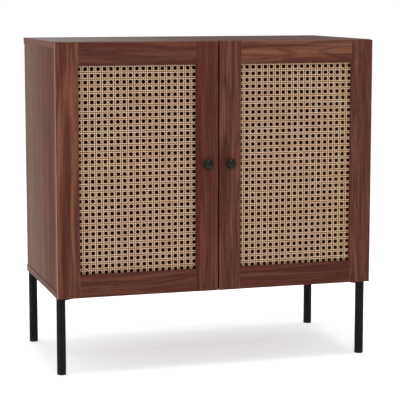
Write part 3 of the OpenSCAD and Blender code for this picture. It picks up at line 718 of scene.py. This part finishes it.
@dataclass
class CaneWeave:
    """One door's sheet of six-way cane.

    Upright and crosswise pairs of strands weave through each other and leave square openings. Two families
    of slanting strands cross over the middle of each pair between two openings, and so cut the openings'
    corners into octagons. A real strand is a little wider and its pair closer: the gap in each pair is
    drawn wider here, so that it shows as a line at the render's size.
    """

    side: Side
    bark: bpy.types.Material
    seed: int
    pitch: float = 15.7 * MM
    width: float = 1.8 * MM
    slant_width: float = 1.0 * MM
    thick: float = 0.5 * MM
    pair_gap: float = 2.85 * MM
    pair_lift: float = 0.27 * MM
    slant_lift: float = 0.55 * MM
    first_column: float = 2.3 * MM
    first_row: float = 8.4 * MM
    end_inset: float = 1.0 * MM
    shortest: float = 3.0 * MM
    wander: float = 0.1 * MM
    wander_waves: Pair = (37.0 * MM, 13.0 * MM)
    slant_wander: float = 0.7
    swing_gain: float = 1.5
    rings_per_hole: int = 8
    width_spread: Pair = (0.93, 1.05)
    tone_spread: Pair = (0.5, 0.13)
    strand_shift: float = 0.7
    map_step: float = 0.001 * MM
    # Round a strand's section: the share of its width, the share of its thickness, and the crown, which sets
    # the painted shade of the edges.
    section: tuple[Triple, ...] = (
        (-0.5, 0.0, 0.0), (-0.3, 0.38, 0.62), (0.0, 0.5, 1.0), (0.3, 0.38, 0.62),
        (0.5, 0.0, 0.0), (0.3, -0.5, 0.0), (-0.3, -0.5, 0.0),
    )

    def __post_init__(self) -> None:
        """Reads the sheet's place and the window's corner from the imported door."""
        self.low, self.high = (np.array(corner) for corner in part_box(self.side.value + "_cane_panel"))
        window_stile = "left_hinge_stile" if self.side is Side.LEFT else "right_meeting_stile"
        hole_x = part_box(window_stile)[1].x + self.first_column
        hole_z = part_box(self.side.value + "_top_rail")[0].z - self.first_row
        self.origin = np.array([hole_x, (self.low[1] + self.high[1]) / 2, hole_z])
        self.noise = np.random.default_rng(self.seed)

    def lines(self, low: float, high: float, offset: float) -> np.ndarray:
        """Gives the places of a family of lines that lie half a pitch beside the holes.

        Args:
            low: where the sheet begins
            high: where the sheet ends
            offset: a hole's place on the same axis

        Returns:
            The lines' places, in order.
        """
        first = math.ceil((low - offset) / self.pitch - 0.5)
        last = math.floor((high - offset) / self.pitch - 0.5)
        return offset + (np.arange(first, last + 1) + 0.5) * self.pitch

    def sway(self, count: int, along: np.ndarray) -> np.ndarray:
        """Gives each strand a slight sideways wander.

        It is the sum of a long sine wave and a short one of half its height, both of chance phase.

        Args:
            count: how many strands
            along: the places along the strands, one row for each or one row for all

        Returns:
            The sideways offset, a row for each strand.
        """
        phases = self.noise.uniform(0, 2 * math.pi, (2, count, 1))
        long_wave, short_wave = (
            np.sin(along / wave + phase) for wave, phase in zip(self.wander_waves, phases)
        )
        return self.wander * (long_wave + short_wave * 0.5)

    def ribbons(self, name: str, centres: np.ndarray, sideways: np.ndarray, width: float) -> None:
        """Makes one family of strands as closed ribbons.

        A ring's point is the strand's centre, plus the section's sideways share of the width along
        sideways, plus its forward share of the thickness towards the room. Rings follow each other along
        the strand, and a flat cap closes each end. The piece rides on the door and stands for its sheet. On
        the strands' map each point of the section is set a map step further across, so that a strand's
        front and back don't coincide there.

        Args:
            name: the piece's name
            centres: the strands' centre points, as strands by rings by three
            sideways: the direction of the strands' width
            width: the strands' mean width
        """
        section = np.array(self.section)
        strands, rings, points = centres.shape[0], centres.shape[1], len(section)
        widths = width * self.noise.uniform(*self.width_spread, (strands, 1, 1, 1))
        across = section[:, 0][None, None, :, None] * widths * sideways
        forward = section[:, 1][None, None, :, None] * self.thick * np.array([0.0, -1.0, 0.0])
        points_at = (centres[:, :, None, :] + across + forward).reshape(-1, 3)
        index = np.arange(strands * rings * points).reshape(strands, rings, points)
        here, there = index[:, :-1], index[:, 1:]
        quads = np.stack([here, np.roll(here, -1, 2), np.roll(there, -1, 2), there], -1).reshape(-1, 4)
        start_caps, end_caps = index[:, 0, ::-1], index[:, -1]
        if self.volume(points_at, quads) < 0:
            quads, start_caps, end_caps = quads[:, ::-1], start_caps[:, ::-1], end_caps[:, ::-1]
        corners = np.concatenate([quads.ravel(), start_caps.ravel(), end_caps.ravel()])
        sizes = np.concatenate([np.full(len(quads), 4), np.full(2 * strands, points)])
        starts = np.concatenate([[0], np.cumsum(sizes)[:-1]])
        mesh = bpy.data.meshes.new(name)
        mesh.vertices.add(len(points_at))
        mesh.vertices.foreach_set("co", points_at.astype(np.float32).ravel())
        mesh.loops.add(len(corners))
        mesh.loops.foreach_set("vertex_index", corners.astype(np.int32))
        mesh.polygons.add(len(sizes))
        mesh.polygons.foreach_set("loop_start", starts.astype(np.int32))
        mesh.polygons.foreach_set("use_smooth", sizes == 4)
        mesh.update(calc_edges=True)
        tones = np.repeat(np.clip(self.noise.normal(*self.tone_spread, strands), 0, 1), rings * points)
        crowns = np.tile(section[:, 2], strands * rings)
        for label, values in (("tone", tones), ("crown", crowns)):
            mesh.attributes.new(label, "FLOAT", "POINT").data.foreach_set("value", values.astype(np.float32))
        lengths = np.linalg.norm(np.diff(centres, axis=1, prepend=centres[:, :1]), axis=2).cumsum(1)
        lengths = lengths + np.arange(strands)[:, None] * self.strand_shift
        across_m = np.tile(section[:, 0] * width + np.arange(points) * self.map_step, strands * rings)
        strand_uv = np.stack([across_m, np.repeat(lengths.ravel(), points)], -1)
        layer = mesh.uv_layers.new(name="strand")
        layer.data.foreach_set("uv", strand_uv[corners].astype(np.float32).ravel())
        mesh.materials.append(self.bark)
        piece = bpy.data.objects.new(name, mesh)
        bpy.context.scene.collection.objects.link(piece)
        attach(piece, self.side.value + "_door")
        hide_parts(self.side.value + "_cane_panel")
        LOG.info("wove %s: %d strands, %d faces", name, strands, len(sizes))

    def volume(self, points_at: np.ndarray, quads: np.ndarray) -> float:
        """Gives six times the volume under the ribbons' quads, negative if they face inwards."""
        a, b, c, d = (points_at[quads[:, i]] - self.origin for i in range(4))
        return float((np.cross(a, b) * c).sum() + (np.cross(a, c) * d).sum())

    def pairs(self, name: str, axis: int) -> None:
        """Weaves the pairs of strands that run along one axis.

        Each strand's depth is a sine of its distance from the nearest crossing: it passes over one strand
        of the crossing pair and under the other, and lies flat between the crossings. Its rings stand at
        each crossing's middle, at the two strands there, as far again on both sides, and halfway between
        the crossings.

        Args:
            name: the piece's name
            axis: 2 for upright strands, 0 for crosswise ones
        """
        other = 2 - axis
        spread = (self.width + self.pair_gap) / 2
        low, high = self.low[axis] + self.end_inset, self.high[axis] - self.end_inset
        crossings = self.lines(self.low[axis], self.high[axis], self.origin[axis])
        steps = np.array([-2.0, -1.0, 0.0, 1.0, 2.0]) * spread
        along = np.sort(np.concatenate([(crossings[:, None] + steps).ravel(), crossings + self.pitch / 2]))
        along = np.concatenate([[low], along[(along > low + MM) & (along < high - MM)], [high]])
        gap = (along - crossings[0] + self.pitch / 2) % self.pitch - self.pitch / 2
        bend = np.sin(np.pi * gap / (2 * spread)) * (np.abs(gap) < 2 * spread)
        middles = self.lines(self.low[other] + spread, self.high[other] - spread, self.origin[other])
        places = (middles[:, None] + np.array([-spread, spread])).ravel()
        turns = np.tile([1.0, -1.0] if axis == 2 else [-1.0, 1.0], len(middles))
        centres = np.zeros((len(places), len(along), 3))
        centres[..., axis] = along
        centres[..., other] = places[:, None] + self.sway(len(places), along)
        centres[..., 1] = self.origin[1] - turns[:, None] * bend * self.pair_lift
        self.ribbons(name, centres, np.eye(3)[other], self.width)

    def slants(self, name: str, rise: int) -> None:
        """Weaves the slanting strands of one family.

        A strand climbs or falls by as much as it goes across the door. Its depth is a cosine of its place
        across the door, cut off at both ends of its swing: it stays in front of one kind of pair and behind
        the other.

        Args:
            name: the piece's name
            rise: 1 for strands that climb to the right, -1 for strands that fall
        """
        low, high = self.low + self.end_inset, self.high - self.end_inset
        left, right = low[0] - self.origin[0], high[0] - self.origin[0]
        foot, head = low[2] - self.origin[2], high[2] - self.origin[2]
        ends = (left, right)
        offsets = self.lines(foot - max(rise * x for x in ends), head - min(rise * x for x in ends), 0.0)
        limits = np.sort(np.stack([(foot - offsets) * rise, (head - offsets) * rise]), axis=0)
        starts, stops = np.maximum(limits[0], left), np.minimum(limits[1], right)
        kept = stops - starts > self.shortest
        offsets, starts, stops = offsets[kept], starts[kept], stops[kept]
        rings = int((right - left) / self.pitch * self.rings_per_hole)
        across = starts[:, None] + (stops - starts)[:, None] * np.linspace(0, 1, rings)
        swing = np.clip(-self.swing_gain * rise * np.cos(2 * np.pi * across / self.pitch), -1, 1)
        shift = self.sway(len(offsets), across) * self.slant_wander
        centres = np.zeros((len(offsets), rings, 3))
        centres[..., 0] = self.origin[0] + across + shift
        centres[..., 1] = self.origin[1] - swing * self.slant_lift
        centres[..., 2] = self.origin[2] + rise * across + offsets[:, None] - rise * shift
        sideways = np.array([1.0, 0.0, -rise]) / math.sqrt(2)
        self.ribbons(name, centres, sideways, self.slant_width)

    def weave(self) -> None:
        """Makes the four families of strands."""
        prefix = self.side.value + "_cane_"
        self.pairs(prefix + "uprights", 2)
        self.pairs(prefix + "crosswise", 0)
        self.slants(prefix + "rising", 1)
        self.slants(prefix + "falling", -1)


def door_foils() -> dict[Side, dict[str, WalnutFoil]]:
    """Chooses the foils of the doors' frames and beads.

    Returns:
        Each door's foils, by their nodes without the door's side.
    """
    upright, crosswise = Grain.UPRIGHT, Grain.CROSSWISE
    # Bands of painted light: a painted highlight on each top face, as from the overhead light, and a painted
    # sheen on each hinge stile's outer edge.
    top_highlight = (UPWARD, 0.45)
    left, right = (LEFTWARD, 0.65), (RIGHTWARD, 0.65)
    return {
        Side.LEFT: {
            "hinge_stile": WalnutFoil(
                "foil_left_hinge_stile", upright, 11.2, 0.6, 0.4, painted_light_bands=(left, top_highlight)
            ),
            "meeting_stile": WalnutFoil(
                "foil_left_meeting_stile", upright, 12.6, 0.15, 0.15, painted_light_bands=(top_highlight,),
                dark="#4a2620", mid="#552d26", light="#633930",
            ),
            "top_rail": WalnutFoil(
                "foil_left_top_rail", crosswise, 13.1, 0.15, 0.1, painted_light_bands=(top_highlight,),
                dark="#4c2922", mid="#56302a", light="#643a32",
            ),
            "bottom_rail": WalnutFoil(
                "foil_left_bottom_rail", crosswise, 14.8, 0.1, mid="#532c25", light="#643d34"
            ),
            "cane_beads": WalnutFoil("foil_left_beads", upright, 15.5, 0.2),
        },
        Side.RIGHT: {
            "hinge_stile": WalnutFoil(
                "foil_right_hinge_stile", upright, 21.4, 0.2, painted_light_bands=(right, top_highlight),
                mid="#58312a", light="#6c433a",
            ),
            "meeting_stile": WalnutFoil(
                "foil_right_meeting_stile", upright, 22.3, 0.4, 0.5, painted_light_bands=(top_highlight,),
                mid="#59322a", light="#6f453b",
            ),
            "top_rail": WalnutFoil("foil_right_top_rail", crosswise, 23.9, 0.8, 0.45, painted_light_bands=(top_highlight,)),
            "bottom_rail": WalnutFoil(
                "foil_right_bottom_rail", crosswise, 24.4, 0.1, mid="#542e27", light="#663f36"
            ),
            "cane_beads": WalnutFoil("foil_right_beads", upright, 25.2, 0.2),
        },
    }


@dataclass
class Door:
    """One door: two stiles and two rails round the cane, with knob, beads, pads and hinge cups."""

    side: Side
    bark: bpy.types.Material
    nickel: bpy.types.Material
    lacquer: bpy.types.Material
    pad: bpy.types.Material
    foils: dict[str, WalnutFoil]
    cane_seed: int

    def dress(self) -> None:
        """Finishes the door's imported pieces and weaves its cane."""
        prefix = self.side.value + "_"
        for node, foil in self.foils.items():
            paint(prefix + node, foil.make())
        for node in ("hinge_cups", "hinge_pins", "cup_screws", "knob_screw"):
            paint(prefix + node, self.nickel)
        paint(prefix + "knob", self.lacquer)
        paint(prefix + "bumpers", self.pad)
        paint(prefix + "cane_panel", self.bark)
        CaneWeave(self.side, self.bark, self.cane_seed).weave()


@dataclass
class HingeArms:
    """The carcass half of one door's hinges: arms, mounting plates and their screws."""

    side: Side
    nickel: bpy.types.Material

    def dress(self) -> None:
        """Finishes the arms, plates and screws in nickel."""
        for node in ("hinge_arms", "mounting_plates", "plate_screws", "arm_screws"):
            paint(f"{self.side.value}_{node}", self.nickel)


@dataclass(frozen=True)
class Lamp:
    """One square soft light: its place and the point that it faces, in metres, its side and its watts."""

    name: str
    place: Triple
    aim: Triple
    side: float
    watts: float

    def hang(self) -> None:
        """Adds the light to the scene."""
        data = bpy.data.lights.new(self.name, "AREA")
        data.shape = "SQUARE"
        data.size = self.side
        data.energy = self.watts
        lamp = bpy.data.objects.new(self.name, data)
        lamp.location = self.place
        lamp.rotation_euler = (Vector(self.aim) - Vector(self.place)).to_track_quat("-Z", "Y").to_euler()
        bpy.context.scene.collection.objects.link(lamp)


@dataclass
class Studio:
    """The pale floor, the soft lights and the camera.

    The floor is a lit white table, so it stays white in every view and only a soft shadow lies between the
    legs. The surround is brighter on the left than on the right.
    """

    azimuth: float = -16.886
    elevation: float = 7.362
    distance: float = 3.779
    target: Pair = (0.0114, 0.0188)
    mid_height: float = 0.4
    lens: float = 132.78
    sensor_width: float = 36.0
    shift_up: float = -0.03
    floor_radius: float = 2500.0
    floor_rings: int = 24
    floor_spokes: int = 96
    floor_glow: float = 0.47
    floor_light: str = "#fbffff"
    floor_shades: tuple[str, str] = ("#e6e6e6", "#e9e9e9")
    # The floor's faint clouds are about two thirds of a metre wide.
    floor_clouds_a_metre: float = 1.5
    surround: Pair = (0.96, 0.42)
    # A soft key overhead, a small light that glints on the knobs, and a weak one from the rear left.
    lamps: tuple[Lamp, ...] = (
        Lamp("key", (0.15, -0.2, 3.0), (0.0, 0.0, 0.4), 1.4, 44.0),
        Lamp("glint", (-0.3, -2.6, 2.4), (0.0, -0.2, 0.5), 0.4, 10.0),
        Lamp("rear_left", (-0.9, 1.7, 1.5), (-0.4, 0.0, 0.8), 1.0, 7.0),
    )

    def camera(self) -> None:
        """Places the camera at the photograph's viewing angle."""
        turn, tilt = math.radians(self.azimuth), math.radians(self.elevation)
        reach = math.cos(tilt)
        forward = Vector((-math.sin(turn) * reach, math.cos(turn) * reach, -math.sin(tilt)))
        right = Vector((math.cos(turn), math.sin(turn), 0.0))
        up = right.cross(forward)
        middle = Vector((0, 0, self.mid_height)) + right * self.target[0] + up * self.target[1]
        data = bpy.data.cameras.new("camera")
        data.lens = self.lens
        data.sensor_width = self.sensor_width
        data.shift_y = self.shift_up
        data.clip_end = 2.0 * self.floor_radius
        camera = bpy.data.objects.new("camera", data)
        camera.location = middle - forward * self.distance
        camera.rotation_euler = forward.to_track_quat("-Z", "Y").to_euler()
        bpy.context.scene.collection.objects.link(camera)
        bpy.context.scene.camera = camera

    def floor(self) -> None:
        """Makes the floor as rings of points on circles whose radius grows with the cube."""
        rings, spokes = self.floor_rings, self.floor_spokes
        radius = self.floor_radius * (np.arange(1, rings + 1) / rings) ** 3
        angle = np.arange(spokes) * 2 * np.pi / spokes
        level = np.zeros((rings, spokes))
        ring = np.stack([np.outer(radius, np.cos(angle)), np.outer(radius, np.sin(angle)), level], -1)
        points = np.concatenate([[[0.0, 0.0, 0.0]], ring.reshape(-1, 3)])
        index = 1 + np.arange(rings * spokes).reshape(rings, spokes)
        here, there = index[:-1], index[1:]
        quads = np.stack([here, there, np.roll(there, -1, 1), np.roll(here, -1, 1)], -1).reshape(-1, 4)
        fan = np.stack([np.zeros(spokes, int), index[0], np.roll(index[0], -1)], -1)
        mesh = bpy.data.meshes.new("studio_floor")
        mesh.from_pydata(points.tolist(), [], fan.tolist() + quads.tolist())
        mesh.materials.append(self.floor_paint())
        floor = bpy.data.objects.new("studio_floor", mesh)
        bpy.context.scene.collection.objects.link(floor)

    def floor_paint(self) -> bpy.types.Material:
        """Builds the floor's matt white paint, lit a little from within.

        Returns:
            The paint's material.
        """
        material, tree, shader = new_material("pale_floor")
        place = add_node(tree, "TexCoord").outputs["Object"]
        clouds = {"Vector": place, "Scale": self.floor_clouds_a_metre, "Detail": 2.0}
        mottle = add_node(tree, "TexNoise", clouds).outputs["Fac"]
        darker, lighter = self.floor_shades
        tint = add_node(tree, "ValToRGB", {"Fac": mottle}, [(0.3, darker), (0.7, lighter)]).outputs["Color"]
        feed(tree, shader, {
            "Base Color": tint, "Roughness": 0.9, "Specular IOR Level": 0.0,
            "Emission Color": linear_colour(self.floor_light), "Emission Strength": self.floor_glow,
        })
        return material

    def surroundings(self) -> None:
        """Sets the white surround, which dims from left to right, and the plain view transform."""
        world = bpy.data.worlds.new("surround")
        world.use_nodes = True
        tree = world.node_tree
        direction = add_node(tree, "TexCoord").outputs["Generated"]
        across = add_node(tree, "SeparateXYZ", {0: direction}).outputs["X"]
        left, right = self.surround
        span = {"Value": across, "From Min": -1.0, "From Max": 1.0, "To Min": left, "To Max": right}
        strength = add_node(tree, "MapRange", span).outputs[0]
        feed(tree, tree.nodes["Background"], {"Color": linear_colour("#ffffff"), "Strength": strength})
        bpy.context.scene.world = world
        bpy.context.scene.view_settings.view_transform = "Standard"

    def build(self) -> None:
        """Sets up the camera, floor, lights and surround."""
        self.camera()
        self.floor()
        for lamp in self.lamps:
            lamp.hang()
        self.surroundings()


def main() -> None:
    """Builds the studio and dresses each sub-assembly in turn."""
    logging.basicConfig(level=logging.INFO, format="%(message)s")
    Studio().build()
    Carcass().dress()
    LegSet().dress()
    bark, nickel, lacquer, pad = CaneBark().make(), NICKEL.make(), KNOB_LACQUER.make(), SoftPad().make()
    for seed, (side, foils) in enumerate(door_foils().items(), start=CANE_SEED):
        Door(side, bark, nickel, lacquer, pad, foils, seed).dress()
        HingeArms(side, nickel).dress()


if __name__ == "__main__":
    main()
